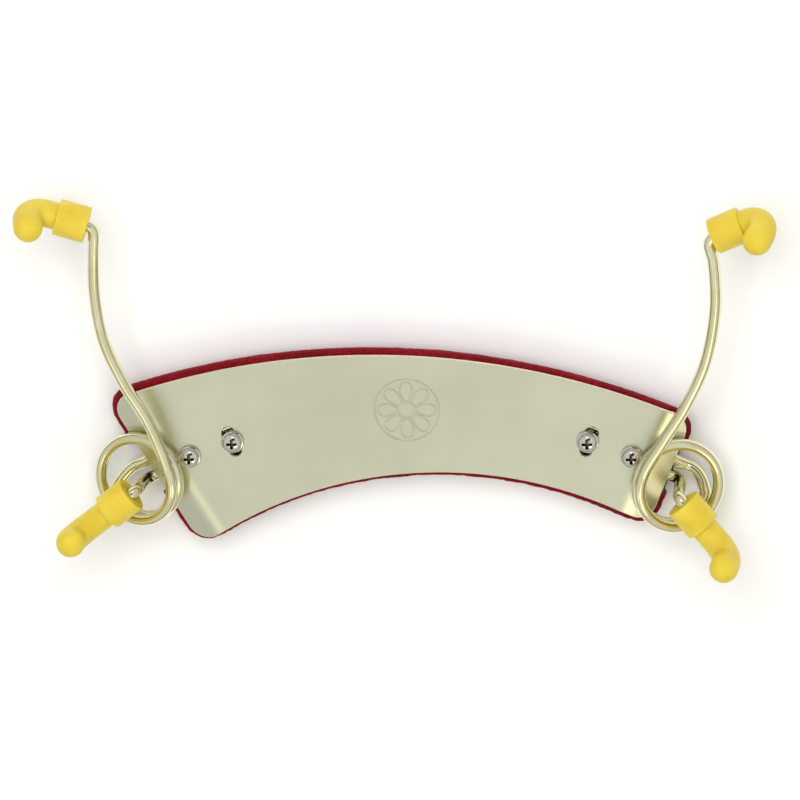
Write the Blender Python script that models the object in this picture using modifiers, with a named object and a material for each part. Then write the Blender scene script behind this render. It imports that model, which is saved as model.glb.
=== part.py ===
"""Violin shoulder rest: a bent sheet-metal plate on a velvet-covered foam pad, with a sprung wire
leg clamped under each end. Each leg ends in two rubber-covered hooks that grip the violin's edges.

Frame: origin at the middle of the pad's flat underside, +X to the right-hand leg, +Y to the long
arms, +Z out of the plate's metal face. Lengths below are in millimetres and angles in degrees.
"""

import math

import bmesh
import bpy
from mathutils import Matrix, Vector

MM = 0.001
CLEARANCE = 0.3  # between pieces that touch

# Base plate: two arcs for the long edges, two straight ends, four rounded corners.
PLATE_THICKNESS = 1.2
TOP_ARC = {"centre": (-9.5, -191.7), "radius": 209.3}
BOTTOM_ARC = {"centre": (7.8, -129.8), "radius": 113.5}
ENDS = {
    -1: {"point": (-76.1, -9.3), "along": (0.4963, -0.8682), "corner_top": 5.6, "corner_bottom": 5.8},
    1: {"point": (75.6, -7.2), "along": (-0.3876, -0.9218), "corner_top": 5.6, "corner_bottom": 4.7},
}
BEND_ANGLE = 18.0  # the ends turn down, away from the violin
BEND_START = 2.0  # from the pivot screw, square to the plate's end
BEND_LENGTH = 5.0
BEND_CUTS = 4

# Pad: flat underside, crowned sides, velvet skin over foam.
PAD_THICKNESS = 10.0
PAD_TOP_ARC = {"centre": (-10.9, -192.2), "radius": 209.3}
PAD_BOTTOM_ARC = {"centre": (7.2, -129.95), "radius": 113.5}
PAD_OVERHANG = 1.2
PAD_LONGER = {-1: 0.6, 1: 0.2}  # more overhang at the ends
PLATE_NOT_LONGER = {-1: 0.0, 1: 0.0}
PAD_TOP_ROUND = 1.5
PAD_CROWN_WIDTH = 7.5
PAD_CROWN_HEIGHT = 8.3
VELVET_THICKNESS = 0.9
PLATE_TOP = PAD_THICKNESS + CLEARANCE + PLATE_THICKNESS

# Screws: M3 pan heads. The pivot screw is the outer one of each pair.
PIVOT = (61.0, -11.6)
LOCK_OFFSET = (-12.0, 4.35)  # from the pivot, towards the middle of the plate
SHANK_RADIUS = 1.45
HEAD_RADIUS = 2.75
HEAD_HEIGHT = 1.9
WASHER_RADIUS = 3.1
WASHER_THICKNESS = 0.4
HOLE_RADIUS = SHANK_RADIUS + CLEARANCE
SWIVEL_LIMIT = 12.0
RECESS_WIDTH = 0.7
RECESS_LENGTH = 2.9
RECESS_DEPTH = 1.3

# Clamp bracket under the plate, with the wire's hairpin held above it.
WIRE_RADIUS = 1.65
BRACKET_THICKNESS = 1.6
BRACKET_HALF_WIDTH = 5.3
BRACKET_END = 3.2  # past the pivot screw
BRACKET_CORNER = 1.8
SCREW_PROTRUSION = 0.5
HAIRPIN_HALF = SHANK_RADIUS + CLEARANCE + WIRE_RADIUS  # between a strand and the line through the screws
HAIRPIN_DEPTH = -PLATE_THICKNESS - CLEARANCE - WIRE_RADIUS
BRACKET_TOP = HAIRPIN_DEPTH - WIRE_RADIUS - CLEARANCE
HAIRPIN_LEVEL = 2.8  # past the pivot screw, where the strands start to drop
WIRE_CUT = 0.45  # between the nodes of one wire
SCREW_END = BRACKET_TOP - BRACKET_THICKNESS - SCREW_PROTRUSION
POCKET_FLOOR = SCREW_END - 1.0

# Spring coil, in the leg's own frame: X outwards from the pivot, Y as the plate, Z above the plate.
COIL_RADIUS = 11.6
COIL_TILT = 22.0  # the coil's axis leans outwards
COIL_PITCH = 3.55
COIL_HEIGHT = 3.4  # of the coil's centre, level with the long arm's end
COIL_JOIN = 24.0
INNER_HEIGHTS = (-4.3, -5.1, -5.8, -6.1, -6.05)
RISER = (12.9, -8.3, -6.5)  # where the short arm turns up
WIRE_STEP = 2.0

# Rubber feet.
COLLAR_RADIUS = 5.05
COLLAR_LENGTH = 8.7
TUBE_RADIUS = 3.75
TIP_RADIUS = 4.0
FOOT_BEND = 4.6
FOOT_HEIGHT = 9.0  # of the collars' axes above the plate
TIP_HEIGHT = 21.3
MOUTH_OFFSET = 2.0  # of a collar's open end from the wire's corner
WIRE_CORNER = 2.6
BORE_DEPTH = 11.5

# The two wires are bent by hand, so the sides differ a little: (x, y) in the leg's own frame.
SIDES = {
    "left": {
        "sign": -1,
        "coil_centre": (15.2, -6.1),
        "inner_arc": ((21.7, -13.2), (21.2, -10.4), (18.9, -7.2), (16.5, -5.0), (13.4, -3.6)),
        "arm": ((10.0, 12.3), (16.3, 23.9), (21.3, 36.5), (23.2, 50.0), (22.9, 63.0)),
        "upper": {"corner": (22.3, 69.3), "bearing": 17.2, "reach": 17.7, "tip": (39.4, 72.0)},
        "lower": {"corner": (13.8, -6.6), "bearing": -37.7, "reach": 21.3, "tip": (31.7, -19.1)},
    },
    "right": {
        "sign": 1,
        "coil_centre": (13.4, -7.9),
        "inner_arc": ((19.1, -13.4), (19.0, -10.0), (17.7, -7.0), (15.7, -5.2), (12.8, -3.9)),
        "arm": ((9.8, 7.4), (16.1, 17.5), (22.0, 30.6), (25.0, 46.0), (24.8, 60.0)),
        "upper": {"corner": (23.3, 65.7), "bearing": 23.5, "reach": 18.0, "tip": (37.7, 68.0)},
        "lower": {"corner": (13.2, -8.7), "bearing": -51.8, "reach": 19.7, "tip": (25.9, -26.3)},
    },
}

MATERIALS = {
    "champagne_plate": ((0.62, 0.60, 0.42), 0.25, 1.0),
    "gilt_wire": ((0.66, 0.62, 0.38), 0.18, 1.0),
    "nickel": ((0.72, 0.70, 0.66), 0.15, 1.0),
    "zinc_bracket": ((0.55, 0.56, 0.56), 0.35, 1.0),
    "amber_rubber": ((0.80, 0.58, 0.10), 0.45, 0.0),
    "crimson_velvet": ((0.30, 0.012, 0.025), 0.9, 0.0),
    "grey_foam": ((0.25, 0.25, 0.26), 0.95, 0.0),
}


def clear_scene():
    for obj in list(bpy.data.objects):
        bpy.data.objects.remove(obj, do_unlink=True)


def new_collection(name):
    made = bpy.data.collections.new(name)
    bpy.context.scene.collection.children.link(made)
    return made


def make_materials():
    made = {}
    for name, (colour, roughness, metallic) in MATERIALS.items():
        material = bpy.data.materials.new(name)
        material.use_nodes = True
        shader = material.node_tree.nodes["Principled BSDF"]
        shader.inputs["Base Color"].default_value = (*colour, 1.0)
        shader.inputs["Roughness"].default_value = roughness
        shader.inputs["Metallic"].default_value = metallic
        made[name] = material
    return made


def add_object(name, data, origin, material, parent=None):
    """Puts data, whose points are in metres from origin (mm), in the parts collection."""
    obj = bpy.data.objects.new(name, data)
    PARTS.objects.link(obj)
    if material:
        data.materials.append(STOCK[material])
    obj.location = Vector(origin) * MM
    if parent:
        obj.parent = parent
        obj.location -= parent.matrix_world.translation
    return obj


def add_empty(name, origin, parent=None):
    obj = bpy.data.objects.new(name, None)
    obj.empty_display_size = 0.01
    PARTS.objects.link(obj)
    obj.location = Vector(origin) * MM
    if parent:
        obj.parent = parent
        obj.location -= parent.matrix_world.translation
    bpy.context.view_layer.update()
    return obj


def hide_cutter(obj):
    for home in obj.users_collection:
        home.objects.unlink(obj)
    CUTTERS.objects.link(obj)
    obj.hide_render = True
    obj.display_type = "WIRE"
    return obj


def cut(obj, cutter):
    modifier = obj.modifiers.new("cut_" + cutter.name, "BOOLEAN")
    modifier.operation = "DIFFERENCE"
    modifier.solver = "EXACT"
    modifier.object = cutter


def smooth(obj, angle=35.0):
    obj.data.shade_smooth()
    obj.data.set_sharp_from_angle(angle=math.radians(angle))


def mesh_of(obj):
    """Turns a curve object into a welded mesh object of the same name, place and material."""
    bpy.context.view_layer.update()
    graph = bpy.context.evaluated_depsgraph_get()
    mesh = bpy.data.meshes.new_from_object(obj.evaluated_get(graph))
    welded = bmesh.new()
    welded.from_mesh(mesh)
    bmesh.ops.remove_doubles(welded, verts=welded.verts, dist=1e-6)
    bmesh.ops.recalc_face_normals(welded, faces=welded.faces)
    welded.to_mesh(mesh)
    welded.free()
    name, parent, matrix = obj.name, obj.parent, obj.matrix_world.copy()
    homes = list(obj.users_collection)
    bpy.data.objects.remove(obj, do_unlink=True)
    made = bpy.data.objects.new(name, mesh)
    for home in homes:
        home.objects.link(made)
    made.parent = parent
    made.matrix_world = matrix
    return made


# Outlines -----------------------------------------------------------------------------------------


def arc_points(centre, radius, start, end, count):
    """Points on an arc from angle start to end, in radians, both included."""
    angles = [start + (end - start) * i / count for i in range(count + 1)]
    return [(centre[0] + radius * math.cos(a), centre[1] + radius * math.sin(a)) for a in angles]


def outward_of(side):
    """The direction out of a plate end, square to its edge."""
    x, y = ENDS[side]["along"]
    return Vector((y, -x)) * -side


def corner_arc(edge, reach, side, depth, above):
    """A rounded corner between a long edge's circle and a plate end: (centre, angle, angle).

    The fillet's centre lies reach from the long edge's own centre and depth inside the plate's end.
    """
    along = Vector(ENDS[side]["along"])
    middle = Vector(edge["centre"])
    start = Vector(ENDS[side]["point"]) - outward_of(side) * depth - middle
    shift = start.dot(along)
    half = math.sqrt(shift * shift - start.length_squared + reach * reach)
    centre = middle + start + along * min((-shift + half, -shift - half), key=abs)
    to_edge = centre - middle if above else middle - centre
    out = outward_of(side)
    return centre, math.atan2(to_edge.y, to_edge.x), math.atan2(out.y, out.x)


def turn_between(start, end):
    """The angle end, moved by whole turns to lie within half a turn of start."""
    while end - start > math.pi:
        end -= 2 * math.pi
    while start - end > math.pi:
        end += 2 * math.pi
    return end


def outline(top_arc, bottom_arc, longer, inset, edge_steps=28, corner_steps=5):
    """The plate's shape between two arcs, moved inwards by inset, anticlockwise from the top left."""

    def corner(side, level):
        radius = max(ENDS[side]["corner_" + level] - inset, 1.0)
        depth = inset + radius - longer[side]
        if level == "top":
            centre, at_edge, at_end = corner_arc(
                top_arc, top_arc["radius"] - inset - radius, side, depth, True
            )
        else:
            centre, at_edge, at_end = corner_arc(
                bottom_arc, bottom_arc["radius"] + inset + radius, side, depth, False
            )
        first, last = (at_edge, at_end) if (side < 0) == (level == "top") else (at_end, at_edge)
        return arc_points(centre, radius, first, turn_between(first, last), corner_steps)

    def long_edge(arc, radius, start, end):
        centre = Vector(arc["centre"])
        first, last = Vector(start) - centre, Vector(end) - centre
        a, b = math.atan2(first.y, first.x), math.atan2(last.y, last.x)
        return arc_points(centre, radius, a, b, edge_steps)[1:-1]

    left_top, left_bottom = corner(-1, "top"), corner(-1, "bottom")
    right_bottom, right_top = corner(1, "bottom"), corner(1, "top")
    low = long_edge(bottom_arc, bottom_arc["radius"] + inset, left_bottom[-1], right_bottom[0])
    high = long_edge(top_arc, top_arc["radius"] - inset, right_top[-1], left_top[0])
    return left_top + left_bottom + low + right_bottom + right_top + high


# Bend ---------------------------------------------------------------------------------------------


def bend_frames():
    """For each end: the bend's start point and the outward direction square to the plate's end."""
    frames = {}
    for side in ENDS:
        out = outward_of(side)
        frames[side] = (Vector((side * PIVOT[0], PIVOT[1])) + out * BEND_START, out)
    return frames


def bend_at(distance):
    """(how far along, how far down, angle) for a point that lies distance past the bend's start."""
    angle = math.radians(BEND_ANGLE)
    radius = BEND_LENGTH / angle
    turned = min(distance / BEND_LENGTH, 1.0) * angle
    past = max(distance - BEND_LENGTH, 0.0)
    along = radius * math.sin(turned) + past * math.cos(angle)
    down = radius * (1 - math.cos(turned)) + past * math.sin(angle)
    return along, down, turned


def bent(point, height, share=1.0):
    """Where a flat plate's point goes once the ends are bent; share fades the bend out."""
    spot = Vector(point)
    for start, outward in BENDS.values():
        distance = (spot - start).dot(outward)
        if distance > 0:
            along, down, turned = bend_at(distance)
            shift = (along - distance + height * math.sin(turned)) * share
            rise = height + (height * (math.cos(turned) - 1) - down) * share
            moved = spot + outward * shift
            return Vector((moved.x, moved.y, rise))
    return Vector((spot.x, spot.y, height))


# Plate and pad --------------------------------------------------------------------------------------


def flat_sheet(name, outline, thickness, origin, material, parent=None):
    """An extruded outline, centred on the origin's height."""
    curve = bpy.data.curves.new(name, "CURVE")
    curve.dimensions = "2D"
    curve.fill_mode = "BOTH"
    curve.extrude = thickness / 2 * MM
    spline = curve.splines.new("POLY")
    spline.points.add(len(outline) - 1)
    for point, (x, y) in zip(spline.points, outline):
        point.co = (x * MM, y * MM, 0, 1)
    spline.use_cyclic_u = True
    return mesh_of(add_object(name, curve, origin, material, parent))


def cylinder_cutter(name, centre, radius, height, sides=24):
    mesh = bpy.data.meshes.new(name)
    shape = bmesh.new()
    bmesh.ops.create_cone(
        shape, cap_ends=True, segments=sides, radius1=radius * MM, radius2=radius * MM, depth=height * MM
    )
    shape.to_mesh(mesh)
    shape.free()
    return hide_cutter(add_object(name, mesh, centre, None))


def slot_outline(sign):
    """An arc-shaped slot round the pivot, long enough for the lock screw's swivel."""
    lock = Vector((sign * LOCK_OFFSET[0], LOCK_OFFSET[1]))
    middle = math.atan2(lock.y, lock.x)
    swing = math.radians(SWIVEL_LIMIT)
    outer = arc_points((0, 0), lock.length + HOLE_RADIUS, middle - swing, middle + swing, 6)
    inner = arc_points((0, 0), lock.length - HOLE_RADIUS, middle + swing, middle - swing, 6)
    ends = []
    for angle, turn in ((middle + swing, 1), (middle - swing, -1)):
        centre = (lock.length * math.cos(angle), lock.length * math.sin(angle))
        first = angle if turn > 0 else angle + math.pi
        ends.append(arc_points(centre, HOLE_RADIUS, first, first + math.pi, 8)[1:-1])
    return outer + ends[0] + inner + ends[1]


def make_plate():
    plate = flat_sheet(
        "base_plate",
        outline(TOP_ARC, BOTTOM_ARC, PLATE_NOT_LONGER, 0),
        PLATE_THICKNESS,
        (0, 0, PLATE_TOP - PLATE_THICKNESS / 2),
        "champagne_plate",
    )
    shape = bmesh.new()
    shape.from_mesh(plate.data)
    for start, outward in BENDS.values():
        for i in range(BEND_CUTS + 1):
            spot = start + outward * (BEND_LENGTH * i / BEND_CUTS)
            bmesh.ops.bisect_plane(
                shape,
                geom=shape.verts[:] + shape.edges[:] + shape.faces[:],
                dist=1e-7,
                plane_co=(spot.x * MM, spot.y * MM, 0),
                plane_no=(outward.x, outward.y, 0),
            )
    for vert in shape.verts:
        vert.co = bent((vert.co.x / MM, vert.co.y / MM), vert.co.z / MM) * MM
    shape.to_mesh(plate.data)
    shape.free()
    for side, values in SIDES.items():
        sign = values["sign"]
        pivot = (sign * PIVOT[0], PIVOT[1], PLATE_TOP)
        cut(plate, cylinder_cutter(side + "_pivot_hole", pivot, HOLE_RADIUS, 4 * PLATE_THICKNESS))
        slot = flat_sheet(side + "_lock_slot", slot_outline(sign), 4 * PLATE_THICKNESS, pivot, None)
        cut(plate, hide_cutter(slot))
    smooth(plate, 20)
    return plate


def pad_profile(skin):
    """(inset, height) down the pad's side, from its top rim to its flat underside.

    skin moves the profile inwards, which gives the foam inside the velvet.
    """
    top_round = max(PAD_TOP_ROUND - skin, 0.2)
    points = []
    for i in range(4):
        a = math.radians(90 - 30 * i)
        points.append((PAD_TOP_ROUND - PAD_OVERHANG - top_round * math.cos(a), top_round * math.sin(a) - PAD_TOP_ROUND))
    for i in range(6):
        a = math.radians(18 * i)
        points.append(
            (
                PAD_CROWN_WIDTH - PAD_OVERHANG - (PAD_CROWN_WIDTH - skin) * math.cos(a),
                PAD_CROWN_HEIGHT - PAD_THICKNESS - (PAD_CROWN_HEIGHT - skin) * math.sin(a),
            )
        )
    return points


def pad_rings(shape, profile):
    """Rings down a profile, which follow the plate's bend at the top and are flat at the bottom."""
    depth = -profile[-1][1]
    rings = []
    for inset, height in profile:
        ring = []
        for point in outline(PAD_TOP_ARC, PAD_BOTTOM_ARC, PAD_LONGER, inset):
            low = bent(point, 0, 1 + height / depth)
            ring.append(shape.verts.new((low.x * MM, low.y * MM, (PAD_THICKNESS + height + low.z) * MM)))
        rings.append(ring)
    for upper, lower in zip(rings, rings[1:]):
        join_rings(shape, upper, lower)
    shape.faces.new(rings[-1])
    return rings[0]


def join_rings(shape, upper, lower):
    count = len(upper)
    for i in range(count):
        j = (i + 1) % count
        shape.faces.new((upper[i], lower[i], lower[j], upper[j]))


def pad_solid(name, profiles, material):
    """One profile makes a solid with a flat top; two make a tray, with its rim between them."""
    shape = bmesh.new()
    rims = [pad_rings(shape, profile) for profile in profiles]
    if len(rims) == 1:
        shape.faces.new(rims[0])
    else:
        join_rings(shape, *rims)
    bmesh.ops.recalc_face_normals(shape, faces=shape.faces)
    mesh = bpy.data.meshes.new(name)
    shape.to_mesh(mesh)
    shape.free()
    return add_object(name, mesh, (0, 0, 0), material)


def pocket_outline(sign):
    """The room that the bracket and the hairpin sweep through as the leg swivels."""
    lock = Vector(LOCK_OFFSET)
    axis = -lock.normalized()
    across = Vector((-axis.y, axis.x))
    rows = (
        (-lock.length - BRACKET_HALF_WIDTH - 1.0, 6.5, 6.5),
        (-lock.length - 1.5, 9.2, 9.2),
        (0.0, 6.6, 6.6),
        (7.0, 7.4, 7.6),
        (18.0, 9.0, 10.0),
    )
    near = [axis * along + across * left for along, left, _ in rows]
    far = [axis * along - across * right for along, _, right in reversed(rows)]
    return [(sign * p.x, p.y) for p in near + far]


def make_pad():
    cover = pad_solid("velvet_cover", [pad_profile(0), pad_profile(VELVET_THICKNESS)], "crimson_velvet")
    foam = pad_solid("foam_pad", [pad_profile(VELVET_THICKNESS + CLEARANCE)], "grey_foam")
    for side, values in SIDES.items():
        sign = values["sign"]
        floor = PLATE_TOP + POCKET_FLOOR
        height = PAD_THICKNESS + 2.0 - floor
        centre = (sign * PIVOT[0], PIVOT[1], floor + height / 2)
        pocket = hide_cutter(flat_sheet(side + "_pad_pocket", pocket_outline(sign), height, centre, None))
        cut(foam, pocket)
        cut(cover, pocket)
    smooth(cover)
    smooth(foam)


# Fasteners ------------------------------------------------------------------------------------------


def turned(name, profile, origin, material, parent, steps=24):
    """A turned piece from a profile of (radius, height), top to bottom."""
    mesh = bpy.data.meshes.new(name)
    points = [(radius * MM, 0, height * MM) for radius, height in profile]
    mesh.from_pydata(points, [(i, i + 1) for i in range(len(points) - 1)], [])
    obj = add_object(name, mesh, origin, material, parent)
    screw = obj.modifiers.new("turn", "SCREW")
    screw.steps = screw.render_steps = steps
    screw.use_merge_vertices = True
    screw.merge_threshold = 1e-6
    screw.use_smooth_shade = True
    return obj


def cross_cutter(name, centre):
    """A cross-shaped plug that narrows downwards: the Phillips recess."""
    shape = bmesh.new()
    rings = []
    for height, scale in ((RECESS_DEPTH, 1.0), (-RECESS_DEPTH, 0.45)):
        long, half = RECESS_LENGTH / 2 * scale, RECESS_WIDTH / 2 * (0.6 + 0.4 * scale)
        ring = []
        for turn in range(4):
            for point in ((long, -half), (long, half), (half, half)):
                spot = Matrix.Rotation(math.radians(90 * turn), 3, "Z") @ Vector((*point, height))
                ring.append(shape.verts.new(spot * MM))
        rings.append(ring)
    join_rings(shape, *rings)
    shape.faces.new(rings[0])
    shape.faces.new(rings[1])
    bmesh.ops.recalc_face_normals(shape, faces=shape.faces)
    mesh = bpy.data.meshes.new(name)
    shape.to_mesh(mesh)
    shape.free()
    return hide_cutter(add_object(name, mesh, centre, None))


def make_fasteners(side, sign, leg):
    pivot = Vector((sign * PIVOT[0], PIVOT[1], PLATE_TOP))
    lock = pivot + Vector((sign * LOCK_OFFSET[0], LOCK_OFFSET[1], 0))
    washer_bottom = CLEARANCE
    washer_top = washer_bottom + WASHER_THICKNESS
    head_bottom = washer_top + CLEARANCE
    head_top = head_bottom + HEAD_HEIGHT
    washer = [
        (HOLE_RADIUS, washer_bottom),
        (HOLE_RADIUS, washer_top),
        (WASHER_RADIUS, washer_top),
        (WASHER_RADIUS, washer_bottom),
        (HOLE_RADIUS, washer_bottom),
    ]
    dome = [
        (HEAD_RADIUS * math.sin(math.radians(a)), head_bottom + 0.5 + (HEAD_HEIGHT - 0.5) * math.cos(math.radians(a)))
        for a in (0, 25, 45, 62, 78, 90)
    ]
    screw = dome + [(HEAD_RADIUS, head_bottom), (SHANK_RADIUS, head_bottom), (SHANK_RADIUS, SCREW_END), (0, SCREW_END)]
    for kind, spot in (("pivot", pivot), ("lock", lock)):
        name = side + "_" + kind
        turned(name + "_washer", washer, spot, "nickel", leg)
        fastener = turned(name + "_screw", screw, spot, "nickel", leg)
        cut(fastener, cross_cutter(name + "_recess", spot + Vector((0, 0, head_top))))


def bracket_outline(sign):
    """Round about the lock screw; cut off square past the pivot screw, where the wires start to drop."""
    lock = Vector(LOCK_OFFSET)
    angle = math.atan2(lock.y, lock.x)
    half = math.pi / 2
    axis = -lock.normalized()
    aside = Vector((-axis.y, axis.x)) * (BRACKET_HALF_WIDTH - BRACKET_CORNER)
    end = axis * (BRACKET_END - BRACKET_CORNER)
    points = arc_points(lock, BRACKET_HALF_WIDTH, angle - half, angle + half, 10)
    points += arc_points(end - aside, BRACKET_CORNER, angle + half, angle + 2 * half, 4)
    points += arc_points(end + aside, BRACKET_CORNER, angle + 2 * half, angle + 3 * half, 4)
    return [(sign * x, y) for x, y in points]


def make_bracket(side, sign, leg):
    pivot = Vector((sign * PIVOT[0], PIVOT[1], PLATE_TOP + BRACKET_TOP - BRACKET_THICKNESS / 2))
    bracket = flat_sheet(
        side + "_clamp_bracket", bracket_outline(sign), BRACKET_THICKNESS, pivot, "zinc_bracket", leg
    )
    edge = bracket.modifiers.new("edge", "BEVEL")
    edge.width = 0.25 * MM
    edge.segments = 1
    edge.angle_limit = math.radians(40)
    lock = pivot + Vector((sign * LOCK_OFFSET[0], LOCK_OFFSET[1], 0))
    for kind, spot in (("pivot", pivot), ("lock", lock)):
        cut(bracket, cylinder_cutter(f"{side}_bracket_{kind}_hole", spot, HOLE_RADIUS, 4 * BRACKET_THICKNESS))
    smooth(bracket, 20)


# Wire -----------------------------------------------------------------------------------------------


def bent_wire(corners, radii, step=WIRE_STEP):
    """Straight runs through the corners, each corner rounded to its radius, as a list of points."""
    corners = [Vector(c) for c in corners]
    points = [corners[0]]
    for before, corner, after, radius in zip(corners, corners[1:], corners[2:], radii):
        back = (before - corner).normalized()
        ahead = (after - corner).normalized()
        half = back.angle(ahead) / 2
        reach = radius / math.tan(half)
        centre = corner + (back + ahead).normalized() * (radius / math.sin(half))
        start = corner + back * reach - centre
        turn = math.pi - 2 * half
        axis = start.cross(corner + ahead * reach - centre).normalized()
        count = max(2, math.ceil(turn * radius / step), math.ceil(turn / math.radians(15)))
        points += [centre + Matrix.Rotation(turn * i / count, 3, axis) @ start for i in range(count + 1)]
    points.append(corners[-1])
    return spread(points, step)


def spread(points, step):
    """Adds points along runs that are longer than two steps, and drops ones that coincide."""
    result = [points[0]]
    for point in points[1:]:
        gap = (point - result[-1]).length
        if gap < 0.2:
            continue
        pieces = max(1, round(gap / (3 * step)))
        last = result[-1]
        result += [last.lerp(point, (i + 1) / pieces) for i in range(pieces)]
    return result


def tube(name, points, radii, origin, material, parent, resolution=2):
    """A round bar along points, with a radius for each point."""
    curve = bpy.data.curves.new(name, "CURVE")
    curve.dimensions = "3D"
    curve.bevel_depth = MM
    curve.bevel_resolution = resolution
    curve.use_fill_caps = True
    spline = curve.splines.new("POLY")
    spline.points.add(len(points) - 1)
    for point, place, radius in zip(spline.points, points, radii):
        point.co = (*((place - Vector(origin)) * MM), 1)
        point.radius = radius
    return add_object(name, curve, origin, material, parent)


def wire(name, points, origin, parent):
    return tube(name, points, [WIRE_RADIUS] * len(points), origin, "gilt_wire", parent)


def trimmed(points, length):
    """The path without its first length millimetres."""
    left = length
    for i, (a, b) in enumerate(zip(points, points[1:])):
        gap = (b - a).length
        if gap > left:
            return [a.lerp(b, left / gap), *points[i + 1 :]]
        left -= gap
    raise ValueError("the path is shorter than the trim")


def elbow_into_foot(start, corner, out):
    """The wire's run from start to its corner and on into a foot's bore."""
    return bent_wire([start, corner, corner + out * (MOUTH_OFFSET + BORE_DEPTH - 0.6)], [WIRE_CORNER])


class Leg:
    """Paths of one wire leg. Its own frame has X out from the pivot, Y as the plate and Z above the plate."""

    def __init__(self, side):
        self.values = SIDES[side]
        self.sign = self.values["sign"]
        tilt = math.radians(COIL_TILT)
        self.coil_centre = Vector((*self.values["coil_centre"], COIL_HEIGHT))
        self.inner_arc = [Vector((*point, z)) for point, z in zip(self.values["inner_arc"], INNER_HEIGHTS)]
        self.coil_axis = Vector((math.sin(tilt), 0, math.cos(tilt)))
        self.coil_inward = Vector((-math.cos(tilt), 0, math.sin(tilt)))

    def world(self, point):
        """A point of the leg's own frame in world millimetres."""
        return Vector((self.sign * (PIVOT[0] + point[0]), PIVOT[1] + point[1], PLATE_TOP + point[2]))

    def coil_point(self, angle, radius=COIL_RADIUS):
        """0 degrees is the side nearest the plate's middle, and smaller angles lie further down the coil."""
        a = math.radians(angle)
        around = self.coil_inward * math.cos(a) + Vector((0, 1, 0)) * math.sin(a)
        return self.coil_centre + around * radius + self.coil_axis * (COIL_PITCH * (angle - COIL_JOIN) / 360)

    def foot_frame(self, which):
        """(wire's corner, direction out of the corner, elbow's corner, tip's centre) of a foot."""
        foot = self.values[which]
        corner = Vector((*foot["corner"], FOOT_HEIGHT))
        bearing = math.radians(foot["bearing"])
        out = Vector((math.cos(bearing), math.sin(bearing), 0))
        elbow = corner + out * (MOUTH_OFFSET + foot["reach"])
        return corner, out, elbow, Vector((*foot["tip"], TIP_HEIGHT - TIP_RADIUS))

    def long_arm(self):
        """From the coil to the inside of the upper foot."""
        corner, out = self.foot_frame("upper")[:2]
        start = self.coil_point(COIL_JOIN)
        count = len(self.values["arm"])
        rise = (FOOT_HEIGHT - start.z) / count
        arm = [Vector((x, y, start.z + rise * (i + 1))) for i, (x, y) in enumerate(self.values["arm"])]
        path = curve_through([self.coil_point(COIL_JOIN - 45), start, *arm, corner])
        return path[:-1] + elbow_into_foot(path[-1], corner, out)

    def coil(self):
        """From the long arm down the coil and inwards to the plate's end."""
        path = [self.coil_point(angle) for angle in range(int(COIL_JOIN), -450, -12)]
        path.append(self.coil_point(-462, COIL_RADIUS - 0.3))
        return path + curve_through([path[-2], path[-1], *self.inner_arc, self.hairpin_start()])[1:]

    def hairpin_start(self):
        """Where the strand from the coil levels out under the plate, beside the pivot screw."""
        axis = -Vector((*LOCK_OFFSET, 0)).normalized()
        return axis * HAIRPIN_LEVEL + Vector((-axis.y, axis.x, 0)) * HAIRPIN_HALF + Vector((0, 0, HAIRPIN_DEPTH))

    def short_arm(self):
        """From the coil under the plate, round both screws, back out and up to the lower foot."""
        corner, out = self.foot_frame("lower")[:2]
        lock = Vector((*LOCK_OFFSET, 0))
        axis = -lock.normalized()
        aside = Vector((-axis.y, axis.x, 0)) * HAIRPIN_HALF
        deep = Vector((0, 0, HAIRPIN_DEPTH))
        end = lock - axis * HAIRPIN_HALF + deep
        corners = [
            self.inner_arc[-1],
            self.hairpin_start(),
            end + aside,
            end - aside,
            axis * HAIRPIN_LEVEL - aside + deep,
            Vector(RISER),
            corner,
            corner + out * (MOUTH_OFFSET + BORE_DEPTH - 0.6),
        ]
        return bent_wire(corners, [6.0, HAIRPIN_HALF - 0.02, HAIRPIN_HALF - 0.02, 6.0, WIRE_CORNER + 0.6, WIRE_CORNER])


def curve_through(points, step=WIRE_STEP):
    """A smooth curve through all points but the first and last, which only set the end directions."""
    result = [points[1]]
    for a, b, c, d in zip(points, points[1:], points[2:], points[3:]):
        count = max(2, round((c - b).length / step))
        for i in range(1, count + 1):
            t = i / count
            result.append(
                0.5 * ((2 * b) + (c - a) * t + (2 * a - 5 * b + 4 * c - d) * t * t + (3 * b - a - 3 * c + d) * t ** 3)
            )
    return result


# Feet -----------------------------------------------------------------------------------------------


def foot_path(mouth, elbow, tip):
    """Points and radii of a foot: a collar, a thinner tube, an elbow and a domed tip that stands up."""
    out = (elbow - mouth).normalized()
    stations = (
        (0.0, COLLAR_RADIUS - 0.3),
        (0.3, COLLAR_RADIUS),
        (COLLAR_LENGTH - 0.3, COLLAR_RADIUS),
        (COLLAR_LENGTH, COLLAR_RADIUS - 0.3),
    )
    points = [mouth + out * along for along, _ in stations]
    radii = [radius for _, radius in stations]
    tube_path = bent_wire([mouth + out * (COLLAR_LENGTH + 0.05), elbow, tip], [FOOT_BEND], 1.2)
    for i, point in enumerate(tube_path):
        points.append(point)
        radii.append(TUBE_RADIUS + (TIP_RADIUS - TUBE_RADIUS) * i / (len(tube_path) - 1))
    up = (tip - elbow).normalized()
    for angle in (25, 48, 66, 80):
        a = math.radians(angle)
        points.append(tip + up * (TIP_RADIUS * math.sin(a)))
        radii.append(TIP_RADIUS * math.cos(a))
    return points, radii


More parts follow.
